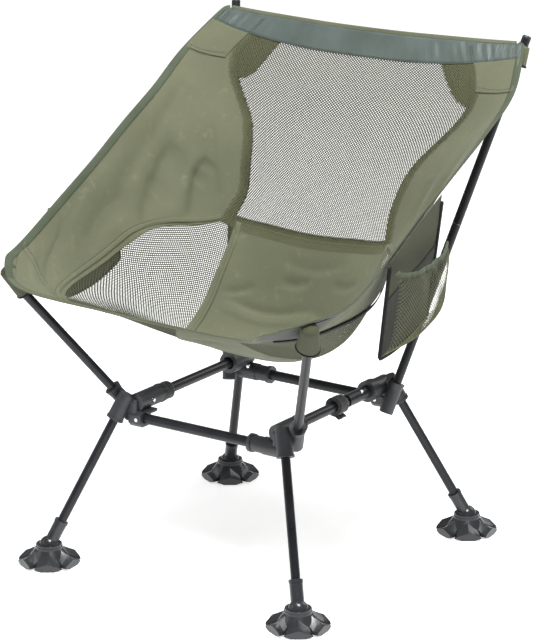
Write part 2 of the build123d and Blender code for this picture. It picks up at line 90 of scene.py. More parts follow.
# Creases: two ends in (u, v), half width in mm, depth in mm (negative is a valley seen from inside).
CREASES = [
    (-0.657, 0.655, -0.684, 0.614, 7, -4.5), (-0.684, 0.614, -0.65, 0.544, 8, -4.5),
    (-0.715, 0.64, -0.70, 0.52, 9, 3.4), (-0.812, 0.626, -0.803, 0.536, 10, -4.5),
    (-0.803, 0.536, -0.72, 0.456, 11, -4.5), (-0.85, 0.66, -0.84, 0.50, 11, 3.2),
    (-0.84, 0.76, -0.86, 0.62, 20, -4.0), (-0.86, 0.62, -0.836, 0.439, 22, -5.0),
    (-0.836, 0.439, -0.829, 0.312, 15, -2.6), (-0.77, 0.42, -0.76, 0.30, 12, 2.4),
    (-0.60, 0.72, -0.55, 0.60, 10, 2.0), (-0.90, 0.24, -0.76, 0.12, 7, -2.6),
    (-0.93, 0.16, -0.70, 0.05, 6, 2.0), (-0.93, 0.50, -0.90, 0.30, 12, 2.2),
    (0.64, 0.66, 0.67, 0.54, 8, -4.2), (0.72, 0.66, 0.69, 0.48, 10, 2.8),
    (0.82, 0.70, 0.72, 0.46, 14, -4.4), (0.88, 0.72, 0.84, 0.36, 20, 3.2),
    (0.86, 0.48, 0.78, 0.26, 11, -2.6), (0.90, 0.22, 0.76, 0.10, 7, -2.2),
    (-0.271, 0.428, 0.04, 0.442, 5, -3.2), (-0.26, 0.402, 0.03, 0.416, 6, 2.2),
    (-0.069, 0.491, 0.048, 0.498, 4.5, -2.8), (-0.33, 0.441, -0.239, 0.465, 4.5, -2.8),
    (0.221, 0.496, 0.344, 0.497, 4, -2.2), (-0.10, 0.22, 0.20, 0.25, 9, -2.0),
    (-0.22, 0.12, -0.02, 0.07, 8, 1.8), (0.06, 0.36, 0.30, 0.33, 7, -2.0),
    (0.20, 0.13, 0.34, 0.26, 8, 1.8), (-0.36, 0.32, -0.25, 0.16, 8, -2.0),
    (-0.05, 0.525, 0.20, 0.53, 5, -1.8), (0.10, 0.45, 0.30, 0.43, 6, -1.8),
]
HALF_WIDTH_MM, LENGTH_MM = 255, 560     # rough size of the cloth, which the creases are laid out on


def catmull(before, here, there, after, f):
    return 0.5 * (2 * here + (there - before) * f + (2 * before - 5 * here + 4 * there - after) * f ** 2
                  + (3 * here - before - 3 * there + after) * f ** 3)


def sling(u, v):
    """The seat cloth's middle: u from -1 (right edge) to 1 (left edge), v from 0 (front hem) to 1 (top)."""
    u, v = np.broadcast_arrays(np.asarray(u, float), np.asarray(v, float))
    flat_u, flat_v = u.ravel(), v.ravel()
    s = np.abs(flat_u) * SPANS_ACROSS
    i = np.clip(s.astype(int), 0, SPANS_ACROSS - 1)
    ribs = catmull(*(ACROSS[:, i + k] for k in range(4)), (s - i)[:, None])
    ribs = np.concatenate([2 * ribs[:1] - ribs[1:2], ribs, 2 * ribs[-1:] - ribs[-2:-1]])
    t = flat_v * SPANS_ALONG
    j = np.clip(np.floor(t).astype(int), 0, SPANS_ALONG - 1)
    n = np.arange(len(t))
    p = catmull(*(ribs[j + k, n] for k in range(4)), (t - j)[:, None])
    p[:, 0] *= np.where(flat_u < 0, -1, 1)
    return p.reshape(u.shape + (3,))


def unit(a):
    return a / np.maximum(np.linalg.norm(a, axis=-1, keepdims=True), 1e-12)


def sling_normal(u, v):
    """The cloth's inner side, towards the sitter."""
    d = 0.004
    u, v = np.asarray(u, float), np.asarray(v, float)
    return unit(np.cross(sling(u + d, v) - sling(u - d, v), sling(u, v + d) - sling(u, v - d)))


def creases(u, v):
    """Height of the creases and of the cloth's slight unevenness, in metres."""
    x, y = np.asarray(u, float) * HALF_WIDTH_MM, np.asarray(v, float) * LENGTH_MM
    height = 0.35 * np.sin(x * 0.045 + 1.3 * np.sin(y * 0.031)) * np.sin(y * 0.052 + np.sin(x * 0.027))
    for u0, v0, u1, v1, half_width, depth in CREASES:
        ax, ay, bx, by = u0 * HALF_WIDTH_MM, v0 * LENGTH_MM, u1 * HALF_WIDTH_MM, v1 * LENGTH_MM
        dx, dy = bx - ax, by - ay
        t = ((x - ax) * dx + (y - ay) * dy) / (dx * dx + dy * dy)
        bow = 0.06 * math.hypot(dx, dy) * np.sin(np.clip(t, 0, 1) * math.pi)
        off = ((x - ax) * dy - (y - ay) * dx) / math.hypot(dx, dy) - bow
        fade = 1 - np.clip(np.abs(2 * t - 1) / 1.5, 0, 1) ** 3
        width = half_width * np.where(off > 0, 0.6, 1.4)
        height = height + depth * fade * np.exp(-(off / width) ** 2)
    return height * MM


def skin(u, v, height=0.0):
    """A point on the creased cloth, moved towards the sitter by height.  Creases fade out at the edges."""
    u, v = np.broadcast_arrays(np.asarray(u, float), np.asarray(v, float))
    edge = np.clip((1.0 - np.abs(u)) / 0.06, 0, 1) * np.clip(v / 0.05, 0, 1) * np.clip((1 - v) / 0.05, 0, 1)
    lift = creases(u, v) * edge + height
    return sling(u, v) + sling_normal(u, v) * np.asarray(lift)[..., None]


def through(values, t):
    """A smooth curve through evenly spaced values, t from 0 to 1."""
    last = len(values) - 1
    padded = np.concatenate([[2 * values[0] - values[1]], values, [2 * values[-1] - values[-2]]])
    t = np.clip(np.asarray(t, float), 0, 1) * last
    i = np.clip(t.astype(int), 0, last - 1)
    return catmull(padded[i], padded[i + 1], padded[i + 2], padded[i + 3], t - i)


def smooth_step(t):
    t = np.clip(t, 0, 1)
    return t * t * (3 - 2 * t)


# Seams: how far out each one lies, in u, at v.
def window_outer(v):
    return through(WINDOW_OUTER, np.asarray(v, float) / SEAT_SEAM)


def window_inner(v, side=-1):
    """Inner seam of a side window, which runs a little further out on the sitter's left (side 1)."""
    shift = np.where(np.asarray(side) > 0, LEFT_SHIFT, 0.0) * smooth_step((v - 0.38) / 0.12)
    return through(WINDOW_INNER, v / SEAT_SEAM) + shift


def side_edge(v):
    """Outer edge of a wing, rounded at its front corner."""
    t = 1 - np.clip(v / CORNER_V, 0, 1)
    return 1 - CORNER_U * (1 - np.sqrt(1 - t * t))


def mesh_side(v, side=1):
    """Side seam of the back net, which flares a little later on the sitter's right (side -1)."""
    left = np.asarray(side) > 0
    start, reach, rise = np.where(left, 0.68, 0.76), np.where(left, 0.20, 0.17), np.where(left, 0.175, 0.165)
    return 0.485 + rise * smooth_step((v - start) / reach)


def wing_inner(v, side=1):
    share = smooth_step((v - SEAT_SEAM) / 0.08)
    return window_outer(v) * (1 - share) + mesh_side(v, side) * share


def band_low(u):
    """Lower edge of the top band: a little higher towards the sides."""
    return 0.938 + 0.016 * np.asarray(u, float) ** 2


def distance(path):
    """Distance along a path at each of its points."""
    return np.concatenate([[0], np.cumsum(np.linalg.norm(np.diff(path, axis=0), axis=1))])


# Flat measures of the cloth, so that nets and weaves keep their pitch.
V_TABLE = np.linspace(0, 1, 201)
LENGTH_TABLE = distance(sling(0.4, V_TABLE))
_rows = sling(np.linspace(0, 1, 60)[:, None], V_TABLE[None, :])
WIDTH_TABLE = np.linalg.norm(np.diff(_rows, axis=0), axis=2).sum(0)


def to_flat(u, v):
    """Flat place of (u, v) on the cloth, in metres."""
    return u * np.interp(v, V_TABLE, WIDTH_TABLE), np.interp(v, V_TABLE, LENGTH_TABLE)


def from_flat(x, y):
    v = np.interp(y, LENGTH_TABLE, V_TABLE)
    return x / np.interp(v, V_TABLE, WIDTH_TABLE), v


# ---------------- materials
class Nodes:
    """A short way to write a node material.  A ramp's ends are colours or greys."""

    def __init__(self, name):
        self.material = bpy.data.materials.new(name)
        self.material.use_nodes = True
        self.tree = self.material.node_tree
        self.shader = self.tree.nodes["Principled BSDF"]

    @property
    def uv(self):
        return self.add("TexCoord").outputs["UV"]

    @property
    def place(self):
        return self.add("TexCoord").outputs["Object"]

    def add(self, kind, inputs=None, **settings):
        node = self.tree.nodes.new("ShaderNode" + kind)
        for key, value in settings.items():
            setattr(node, key, value)
        for key, value in (inputs or {}).items():
            self.put(node.inputs[key], value)
        return node

    def put(self, socket, value):
        if isinstance(value, bpy.types.NodeSocket):
            self.tree.links.new(value, socket)
        elif isinstance(value, bpy.types.Node):
            self.tree.links.new(value.outputs[0], socket)
        else:
            socket.default_value = value

    def set(self, **values):
        for key, value in values.items():
            self.put(self.shader.inputs[key.replace("_", " ")], value)

    def math(self, operation, a, b):
        return self.add("Math", {0: a, 1: b}, operation=operation).outputs[0]

    def blend(self, a, share_a, b, share_b):
        return self.math("ADD", self.math("MULTIPLY", a, share_a), self.math("MULTIPLY", b, share_b))

    def noise(self, vector, scale, detail=3.0, roughness=0.5):
        inputs = {"Vector": vector, "Scale": scale, "Detail": detail, "Roughness": roughness}
        return self.add("TexNoise", inputs).outputs["Fac"]

    def stretched(self, vector, scale):
        return self.add("Mapping", {"Vector": vector, "Scale": scale})

    def ramp(self, factor, start, low, end, high):
        node = self.add("ValToRGB", {"Fac": factor})
        for element, position, colour in zip(node.color_ramp.elements, (start, end), (low, high)):
            element.position = position
            element.color = (*(colour if isinstance(colour, tuple) else (colour,) * 3), 1)
        return node.outputs["Color"]

    def dyed(self, factor, colour, start, low, end, high):
        """A colour that varies between two strengths."""
        return self.ramp(factor, start, scaled(colour, low), end, scaled(colour, high))

    def mix(self, factor, a, b, blend="MIX"):
        node = self.add("Mix", {"Factor": factor, 6: a, 7: b}, data_type="RGBA", blend_type=blend)
        return node.outputs[2]

    def shaded(self, tone, factor, start, low, end, high):
        """A colour multiplied by a grey ramp."""
        return self.mix(1.0, tone, self.ramp(factor, start, low, end, high), "MULTIPLY")

    def bump(self, height, strength, depth, normal=None):
        node = self.add("Bump", {"Height": height, "Strength": strength, "Distance": depth})
        if normal is not None:
            self.put(node.inputs["Normal"], normal)
        return node.outputs["Normal"]

    def threads(self, pitch, direction):
        """Bands with the given pitch in metres."""
        node = self.add("TexWave", {"Vector": self.uv, "Scale": 2 * math.pi / 20 / pitch, "Distortion": 0.0},
                        wave_type="BANDS", bands_direction=direction, wave_profile="SIN")
        return node.outputs["Fac"]


def rgb(r, g, b):
    """Linear colour from one given as it looks, 0 to 255."""
    return tuple(((c / 255 + 0.055) / 1.055) ** 2.4 if c > 10 else c / 255 / 12.92 for c in (r, g, b))


def scaled(colour, k):
    return tuple(min(c * k, 1.0) for c in colour)


def woven(name, colour, pitch, roughness, sheen, depth=0.16, wear=None):
    """Plain-weave cloth: two crossing sets of threads, uneven dye and slight rubbing."""
    m = Nodes(name)
    weave = m.math("MULTIPLY", m.threads(pitch, "X"), m.threads(pitch, "Y"))
    slub = m.noise(m.stretched(m.uv, (180.0, 2600.0, 1.0)), 1.0, 2.0)
    cloud = m.noise(m.place, 9.0, 4.0, 0.6)
    tone = m.dyed(cloud, colour, 0.25, 0.9, 0.75, 1.1)
    tone = m.shaded(tone, weave, 0.0, 0.72, 0.55, 1.05)
    tone = m.shaded(tone, slub, 0.35, 0.93, 0.7, 1.06)
    if wear is not None:
        rubbed = m.ramp(m.noise(m.place, 60.0, 5.0, 0.7), 0.58, 0, 0.75, 0.5)
        tone = m.mix(rubbed, tone, (*wear, 1))
    normal = m.bump(m.blend(weave, 0.6, slub, 0.4), 0.5, depth * MM)
    normal = m.bump(m.noise(m.place, 70.0, 3.0), 0.25, 0.5 * MM, normal)
    rough = m.ramp(cloud, 0.2, roughness - 0.06, 0.8, roughness + 0.06)
    m.set(Base_Color=tone, Roughness=rough, Normal=normal, Sheen_Weight=sheen, Sheen_Roughness=0.5,
          Specular_IOR_Level=0.3)
    return m.material


def knitted(name, colour, pitch):
    """Thread of the open nets: a fine twist along it."""
    m = Nodes(name)
    twist = m.threads(pitch, "DIAGONAL")
    tone = m.dyed(m.noise(m.place, 14.0, 3.0), colour, 0.3, 0.85, 0.7, 1.15)
    tone = m.shaded(tone, twist, 0.0, 0.8, 0.6, 1.05)
    m.set(Base_Color=tone, Roughness=0.75, Normal=m.bump(twist, 0.4, 0.1 * MM), Sheen_Weight=0.1,
          Specular_IOR_Level=0.3)
    return m.material


def ribbed_tape(name, colour, roughness=0.7, pitch=0.9 * MM, sheen=0.1):
    """Woven tape: a diagonal twill crossed by finer ribs."""
    m = Nodes(name)
    twill, ribs = m.threads(pitch, "DIAGONAL"), m.threads(pitch * 0.6, "X")
    tone = m.dyed(m.noise(m.place, 22.0, 4.0), colour, 0.25, 0.86, 0.75, 1.16)
    tone = m.shaded(tone, twill, 0.0, 0.78, 0.7, 1.06)
    normal = m.bump(m.blend(twill, 0.7, ribs, 0.3), 0.5, 0.2 * MM)
    m.set(Base_Color=tone, Roughness=roughness, Normal=normal, Sheen_Weight=sheen, Specular_IOR_Level=0.3)
    return m.material


def coated(name, colour):
    """Sleek coated lining: soft gloss with fine wrinkles."""
    m = Nodes(name)
    folds = m.noise(m.stretched(m.uv, (70.0, 16.0, 1.0)), 1.0, 3.0, 0.6)
    cloud = m.noise(m.place, 18.0, 4.0)
    normal = m.bump(folds, 0.7, 2.2 * MM)
    normal = m.bump(m.threads(0.5 * MM, "X"), 0.3, 0.08 * MM, normal)
    rough = m.ramp(cloud, 0.3, 0.3, 0.7, 0.42)
    m.set(Base_Color=m.dyed(cloud, colour, 0.25, 0.85, 0.75, 1.2), Roughness=rough, Normal=normal)
    return m.material


def anodised(name):
    """Black anodised tube: drawn lines along it and pale rubs."""
    m = Nodes(name)
    lines = m.noise(m.stretched(m.place, (900.0, 900.0, 18.0)), 1.0, 3.0)
    cloud = m.noise(m.place, 35.0, 4.0, 0.6)
    rub = m.ramp(m.noise(m.place, 160.0, 6.0, 0.75), 0.62, 0, 0.74, 0.35)
    tone = m.ramp(cloud, 0.3, (0.011, 0.012, 0.015), 0.7, (0.020, 0.021, 0.025))
    tone = m.mix(rub, tone, (0.055, 0.058, 0.064, 1))
    m.set(Base_Color=tone, Roughness=m.ramp(cloud, 0.2, 0.26, 0.8, 0.38), Metallic=0.1,
          Normal=m.bump(lines, 0.12, 0.15 * MM), Coat_Weight=0.08, Coat_Roughness=0.3, Specular_IOR_Level=0.3)
    return m.material


def moulded(name, colour, low, high, grain=260.0, depth=0.12):
    """Moulded plastic: fine mould texture, uneven gloss, a little dust in random patches."""
    m = Nodes(name)
    cloud = m.noise(m.place, 28.0, 4.0, 0.6)
    dust = m.ramp(m.noise(m.place, 90.0, 5.0, 0.7), 0.6, 0, 0.8, 0.22)
    tone = m.mix(dust, m.dyed(cloud, colour, 0.3, 0.8, 0.7, 1.25), (0.05, 0.049, 0.046, 1))
    normal = m.bump(m.noise(m.place, grain * 10, 2.0), 0.25, depth * MM)
    normal = m.bump(cloud, 0.15, 0.6 * MM, normal)
    m.set(Base_Color=tone, Roughness=m.ramp(cloud, 0.25, low, 0.75, high), Normal=normal)
    return m.material


def fuzzy(name, colour):
    """Hook-and-loop tape: short pile in rows."""
    m = Nodes(name)
    pile = m.noise(m.place, 1400.0, 3.0, 0.7)
    tone = m.dyed(pile, colour, 0.3, 0.6, 0.75, 1.8)
    tone = m.shaded(tone, m.noise(m.place, 60.0, 3.0), 0.3, 0.8, 0.7, 1.2)
    m.set(Base_Color=tone, Roughness=0.9, Normal=m.bump(pile, 0.8, 0.5 * MM), Sheen_Weight=0.3,
          Sheen_Roughness=0.5)
    return m.material


def metal(name, colour, roughness):
    """Bare metal with turned lines."""
    m = Nodes(name)
    cloud = m.noise(m.place, 300.0, 3.0)
    rough = m.ramp(cloud, 0.3, roughness * 0.8, 0.7, roughness * 1.3)
    m.set(Base_Color=m.dyed(cloud, colour, 0.3, 0.85, 0.7, 1.0), Metallic=1.0, Roughness=rough,
          Normal=m.bump(cloud, 0.1, 0.1 * MM))
    return m.material


OLIVE = rgb(108, 111, 87)
WEAVE = 0.62 * MM
MATERIALS = {
    "cloth": woven("olive_cloth", OLIVE, WEAVE, 0.82, 0.12, wear=scaled(OLIVE, 1.35)),
    "cloth_under": woven("coated_underside", rgb(68, 71, 65), WEAVE, 0.6, 0.05, depth=0.10),
    # A darker copy of the olive cloth: painted shade for the front pockets and the bag backings, which hang
    # in shadow.
    "cloth_painted_shade": woven("olive_cloth_painted_shade", rgb(80, 82, 64), WEAVE, 0.82, 0.05),
    "net": knitted("olive_net", rgb(74, 76, 56), 0.5 * MM),
    "net_dense": knitted("olive_net_double", rgb(84, 86, 58), 0.5 * MM),
    "net_dark": knitted("olive_bag_net", rgb(104, 106, 78), 0.6 * MM),
    # A near-black sheet: painted shadow inside the bags, behind their nets.
    "shade_sheet": knitted("dark_bag_shade_sheet", rgb(36, 38, 28), 0.8 * MM),
    "binding": ribbed_tape("grey_green_binding", rgb(76, 84, 66)),
    "hem": ribbed_tape("olive_hem", rgb(90, 95, 74)),
    "band": coated("dark_green_lining", rgb(80, 90, 86)),
    "black_tape": ribbed_tape("black_tape", rgb(24, 24, 26), 0.85, sheen=0.02),
    "thread": woven("olive_thread", rgb(70, 72, 52), 0.4 * MM, 0.7, 0.2),
    "pole": anodised("anodised_tube"),
    "hub": moulded("hub_plastic", (0.032, 0.034, 0.038), 0.34, 0.5),
    "foot": moulded("foot_plastic", (0.028, 0.031, 0.034), 0.16, 0.3, grain=180.0, depth=0.08),
    "strap": fuzzy("hook_and_loop", (0.016, 0.016, 0.018)),
    "steel": metal("bare_steel", (0.75, 0.75, 0.76), 0.22),
    "cord": ribbed_tape("elastic_cord", rgb(30, 30, 30), 0.8, 0.8 * MM),
}


# ---------------- mesh helpers
def add_piece(name, solid, material, stands_for=None, body="root"):
    """One piece from (points, faces, uvs), which may stand for a CAD node."""
    verts, faces, uvs = solid
    mesh = bpy.data.meshes.new(name)
    mesh.from_pydata(np.asarray(verts).tolist(), [], [list(map(int, face)) for face in faces])
    mesh.validate()
    layer = mesh.uv_layers.new(name="UVMap")
    loops = np.empty(len(mesh.loops), np.int32)
    mesh.loops.foreach_get("vertex_index", loops)
    layer.data.foreach_set("uv", np.asarray(uvs, float)[loops].astype(np.float32).ravel())
    mesh.polygons.foreach_set("use_smooth", [True] * len(mesh.polygons))
    mesh.materials.append(MATERIALS[material])
    piece = bpy.data.objects.new(name, mesh)
    bpy.context.scene.collection.objects.link(piece)
    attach(piece, body)
    if stands_for:
        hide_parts(stands_for)
    return piece


def merged(solids):
    """Several (points, faces, uvs) as one."""
    verts, faces, uvs, start = [], [], [], 0
    for v, f, t in solids:
        verts.append(v)
        uvs.append(t)
        faces.extend([[i + start for i in face] for face in f])
        start += len(v)
    return np.concatenate(verts), faces, np.concatenate(uvs)


def mirrored(solid, side):
    """The same solid, on the sitter's right where side is -1."""
    verts, faces, uvs = solid
    return verts * (side, 1, 1), faces, uvs


def shell(points, thickness, uvs):
    """A closed thin sheet from a grid of points (rows, columns, 3)."""
    rows, cols = points.shape[:2]
    normals = unit(np.cross(np.gradient(points, axis=0), np.gradient(points, axis=1)))
    half = normals * thickness / 2
    verts = np.concatenate([(points + half).reshape(-1, 3), (points - half).reshape(-1, 3)])
    index = np.arange(rows * cols).reshape(rows, cols)
    a, b, c, d = index[:-1, :-1], index[1:, :-1], index[1:, 1:], index[:-1, 1:]
    top = np.stack([a, b, c, d], -1).reshape(-1, 4)
    under = rows * cols
    bottom = np.stack([a, d, c, b], -1).reshape(-1, 4) + under
    rim = np.concatenate([index[:, 0], index[-1, 1:], index[-2::-1, -1], index[0, -2:0:-1]])
    after = np.roll(rim, -1)
    walls = np.stack([after, rim, rim + under, after + under], -1)
    flat = uvs.reshape(-1, 2)
    return verts, np.concatenate([top, bottom, walls]).tolist(), np.concatenate([flat, flat])


def cloth_sheet(u, v, height=0.0):
    """A closed sheet of cloth over a grid of (u, v)."""
    return shell(skin(u, v, height), CLOTH_T, np.stack(to_flat(u, v), -1))


def grid(low, high, front, back, rows, cols):
    """(u, v) over a panel: low and high give its two sides as functions of v."""
    v = np.linspace(front, back, cols)[None, :] * np.ones((rows, 1))
    t = np.linspace(0, 1, rows)[:, None]
    return low(v) * (1 - t) + high(v) * t, v


def sheet_area(p):
    a = np.cross(p[1:, :-1] - p[:-1, :-1], p[:-1, 1:] - p[:-1, :-1])
    b = np.cross(p[1:, :-1] - p[1:, 1:], p[:-1, 1:] - p[1:, 1:])
    return float((np.linalg.norm(a, axis=2) + np.linalg.norm(b, axis=2)).sum() / 2)


def declare(width, length, area):
    """Works out a clamped area for a piece cut from flat cloth of the given size; the result is not used."""
    area = min(max(area, 0.31 * width * length), width * length)


def declare_on_sling(u, v, cover=1.0):
    """The same for a stretched piece that covers a grid of (u, v) on the sling."""
    x, y = to_flat(u, v)
    declare(float(np.ptp(x)), float(np.ptp(y)), sheet_area(sling(u, v)) * cover)


def sweep(path, out, up, profile):
    """A closed solid with a profile of (out, up) points along a path, which has those unit vectors."""
    path, out, up, profile = (np.asarray(a, float) for a in (path, out, up, profile))
    n, k = len(path), profile.shape[-2]
    profile = np.broadcast_to(profile, (n, k, 2))
    ring = path[:, None] + out[:, None] * profile[..., :1] + up[:, None] * profile[..., 1:]
    index = np.arange(n * k).reshape(n, k)
    after = np.roll(index, -1, axis=1)
    sides = np.stack([index[:-1], after[:-1], after[1:], index[1:]], -1).reshape(-1, 4).tolist()
    caps = [index[0, ::-1].tolist(), index[-1].tolist()]
    along, around = np.broadcast_arrays(distance(path)[:, None], distance(profile[0])[None, :])
    return ring.reshape(-1, 3), sides + caps, np.stack([along, around], -1).reshape(-1, 2)


def frames(path, up):
    """(out, up) unit vectors along a path, up as near the given one as it can be."""
    along = unit(np.gradient(np.asarray(path, float), axis=0))
    out = unit(np.cross(along, np.broadcast_to(up, along.shape)))
    return out, unit(np.cross(out, along))


def interpolate(at, run, values):
    """np.interp for each column of values."""
    return np.stack([np.interp(at, run, column) for column in values.T], -1)


def uv_line(u, v):
    """A (u, v) path; either may be one number."""
    return np.stack(np.broadcast_arrays(u, v), -1)


def on_skin(uv_path, height, step=4 * MM):
    """Points and inner normals along a (u, v) path, evenly spaced."""
    uv = np.asarray(uv_path, float)
    uv = np.stack([through(column, np.linspace(0, 1, 400)) for column in uv.T], -1)
    run = distance(skin(uv[:, 0], uv[:, 1], height))
    u, v = interpolate(np.linspace(0, run[-1], max(int(run[-1] / step), 3)), run, uv).T
    return skin(u, v, height), sling_normal(u, v)


def tape(uv_path, width, thickness, height):
    """A flat tape on the cloth along a (u, v) path, with rounded edges."""
    path, normal = on_skin(uv_path, height)
    out, up = frames(path, normal)
    w, t = width / 2, thickness / 2
    profile = [(-w, 0), (-w * 0.92, t * 0.8), (-w * 0.5, t), (0, t * 0.9), (w * 0.5, t), (w * 0.92, t * 0.8),
               (w, 0), (w * 0.92, -t * 0.8), (0, -t), (-w * 0.92, -t * 0.8)]
    return sweep(path, out, up, profile)


def stitch(path, normal, share):
    """A row of thread dashes along a path, with two steps to each; share is the thread's part of them."""
    square = np.array([(1, 0), (0, 1), (-1, 0), (0, -1)], float) * THREAD_R
    profile = square[None] * np.array([0.25, 1.0, 1.0, 0.25])[:, None, None]
    for k in range(0, len(path) - 2, 2):
        a, mid, b = path[k:k + 3]
        start, end = mid + (a - mid) * share, mid + (b - mid) * share
        out = unit(np.cross(unit(end - start), normal[k + 1]))
        up = np.cross(out, unit(end - start))
        line = np.array([start, start * 0.7 + end * 0.3, start * 0.3 + end * 0.7, end])
        STITCHES.append(sweep(line, np.tile(out, (4, 1)), np.tile(up, (4, 1)), profile))


def sew(uv_path, height):
    """A row of stitches on the cloth along a (u, v) path."""
    path, normal = on_skin(uv_path, height, (STITCH + STITCH_GAP) / 2)
    stitch(path, normal, STITCH / (STITCH + STITCH_GAP))


def net(place, inside, x_range, y_range, pitch, strand, crown, shift=(0, 0)):
    """An open net of crossing threads.  place(x, y) gives points and normals, and inside(x, y) says which
    cells are there.  Each cell is a diamond hole whose threads are thick in the middle."""
    a0, a1 = math.floor(2 * x_range[0] / pitch), math.ceil(2 * x_range[1] / pitch)
    b0, b1 = math.floor(2 * y_range[0] / pitch), math.ceil(2 * y_range[1] / pitch)
    a, b = np.meshgrid(np.arange(a0, a1 + 1), np.arange(b0, b1 + 1), indexing="ij")
    cells = np.stack([a, b], -1)[(a + b) % 2 == 0]
    x, y = ((cells + shift) * pitch / 2).T
    keep = inside(x, y)
    cells, x, y = cells[keep], x[keep], y[keep]
    corner_step = np.array([(1, 0), (0, 1), (-1, 0), (0, -1)])
    nodes, which = np.unique((cells[:, None] + corner_step[None]).reshape(-1, 2), axis=0, return_inverse=True)
    here = which.reshape(-1, 4)
    nx, ny = ((nodes + shift) * pitch / 2).T
    hole = 1 - strand / 2 / (pitch / math.sqrt(8))
    hx = (x[:, None] + corner_step[None, :, 0] * pitch / 2 * hole).ravel()
    hy = (y[:, None] + corner_step[None, :, 1] * pitch / 2 * hole).ravel()
    p_node, n_node = place(nx, ny)
    p_hole, _ = place(hx, hy)
    count = len(nodes)
    verts = np.concatenate([p_node + n_node * crown, p_node - n_node * crown, p_hole])
    hole_here = 2 * count + np.arange(len(hx)).reshape(-1, 4)
    there, hole_there = np.roll(here, -1, axis=1), np.roll(hole_here, -1, axis=1)
    top = np.stack([here, there, hole_there, hole_here], -1).reshape(-1, 4)
    under = np.stack([there + count, here + count, hole_here, hole_there], -1).reshape(-1, 4)
    uvs = np.concatenate([np.stack([nx, ny], -1)] * 2 + [np.stack([hx, hy], -1)])
    return verts, np.concatenate([top, under]).tolist(), uvs


def sling_net(inside, height, strand, crown, shift=(0, 0)):
    """An open net on the sling, wherever inside(u, v) holds."""
    def place(x, y):
        u, v = from_flat(x, y)
        return skin(u, v, height), sling_normal(u, v)
    reach = 0.78 * WIDTH_TABLE.max()
    return net(place, lambda x, y: inside(*from_flat(x, y)), (-reach, reach), (0, LENGTH_TABLE[-1]),
               NET_PITCH, strand, crown, shift)


# ---------------- CAD nodes that stay
NODE_MATERIALS = (
    ("hub_rivets", "steel"), ("hub_", "hub"), ("leg_tip_", "foot"), ("leg_", "pole"), ("foot_pad_", "foot"),
    ("side_bar_", "pole"), ("crossbar_pins", "steel"), ("crossbar_", "pole"), ("upright_tip_caps", "hub"),
    ("upright_joint_sleeves", "steel"), ("upright_", "pole"), ("shock_cord_", "cord"), ("strap_", "strap"),
)


def finish_cad_nodes():
    """Gives each CAD node its material, and rounds the moulded parts' sharp edges."""
    for name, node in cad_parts.items():
        found = [kind for start, kind in NODE_MATERIALS if name.startswith(start)]
        if not found:
            continue
        node.data.materials.clear()
        node.data.materials.append(MATERIALS[found[0]])
        if found[0] in ("hub", "foot"):
            node.data.shade_smooth()
            bevel = node.modifiers.new("rounded_edges", "BEVEL")
            bevel.width = 0.5 * MM
            bevel.segments = 2
            bevel.limit_method = "ANGLE"
            bevel.angle_limit = math.radians(32)
            smooth = node.modifiers.new("clean_shading", "WEIGHTED_NORMAL")
            smooth.keep_sharp = True


# ---------------- the seat
def panel(name, node, low, high, back, rows, cols):
    """A cloth panel between two seams, from the front hem to v = back, which stands for a CAD node."""
    u, v = grid(low, high, HEM_V, back, rows, cols)
    piece = add_piece(name, cloth_sheet(u, v), "cloth", node)
    declare_on_sling(u, v)


def seat_cloth():
    """The seat panel and the two wings."""
    panel("seat_panel_cloth", "seat_panel",
          lambda v: -window_inner(v) - LAP, lambda v: window_inner(v, 1) + LAP,
          SEAT_SEAM + 0.006, 97, 97)
    for word, side in SIDES:
        edges = [lambda v: side * (wing_inner(v, side) - LAP), lambda v: side * (side_edge(v) - 0.01)]
        low, high = edges[::side]
        panel(f"wing_cloth_{word}", f"wing_{word}", low, high, TOP_V, 81, 221)


def seam_path(edge, front, back, side, count=9):
    v = np.linspace(front, back, count)
    return uv_line(side * edge(v), v)


def seams():
    """Folded seam allowances along the windows, with their stitching."""
    for word, side in SIDES:
        outer = seam_path(lambda v: window_outer(v) + 0.014, 0.012, SEAT_SEAM, side)
        inner = seam_path(lambda v: window_inner(v, side) - 0.012, 0.012, SEAT_SEAM + 0.004, side)
        folds = [tape(path, SEAM_W, SEAM_T, 0.9 * MM) for path in (outer, inner)]
        add_piece(f"seat_seam_{word}", merged(folds), "cloth")
        for edge, shift in ((window_outer, 0.026), (lambda v: window_inner(v, side), -0.025)):
            sew(seam_path(lambda v: edge(v) + shift, 0.02, SEAT_SEAM - 0.002, side), 0.75 * MM)
            sew(seam_path(lambda v: edge(v) + shift * 0.35, 0.02, SEAT_SEAM - 0.01, side), 1.7 * MM)


def back_net():
    """The see-through back."""
    def inside(u, v):
        return (np.abs(u) < wing_inner(v, u) + 0.004) & (v > SEAT_SEAM - 0.004) & (v < band_low(u) + 0.012)
    solid = sling_net(inside, -0.3 * MM, NET_STRAND, 0.3 * MM)
    piece = add_piece("back_net", solid, "net", "back_mesh")
    u, v = grid(lambda v: -wing_inner(v, -1), wing_inner, SEAT_SEAM, BAND_SEAM, 40, 40)
    declare_on_sling(u, v, NET_COVER)


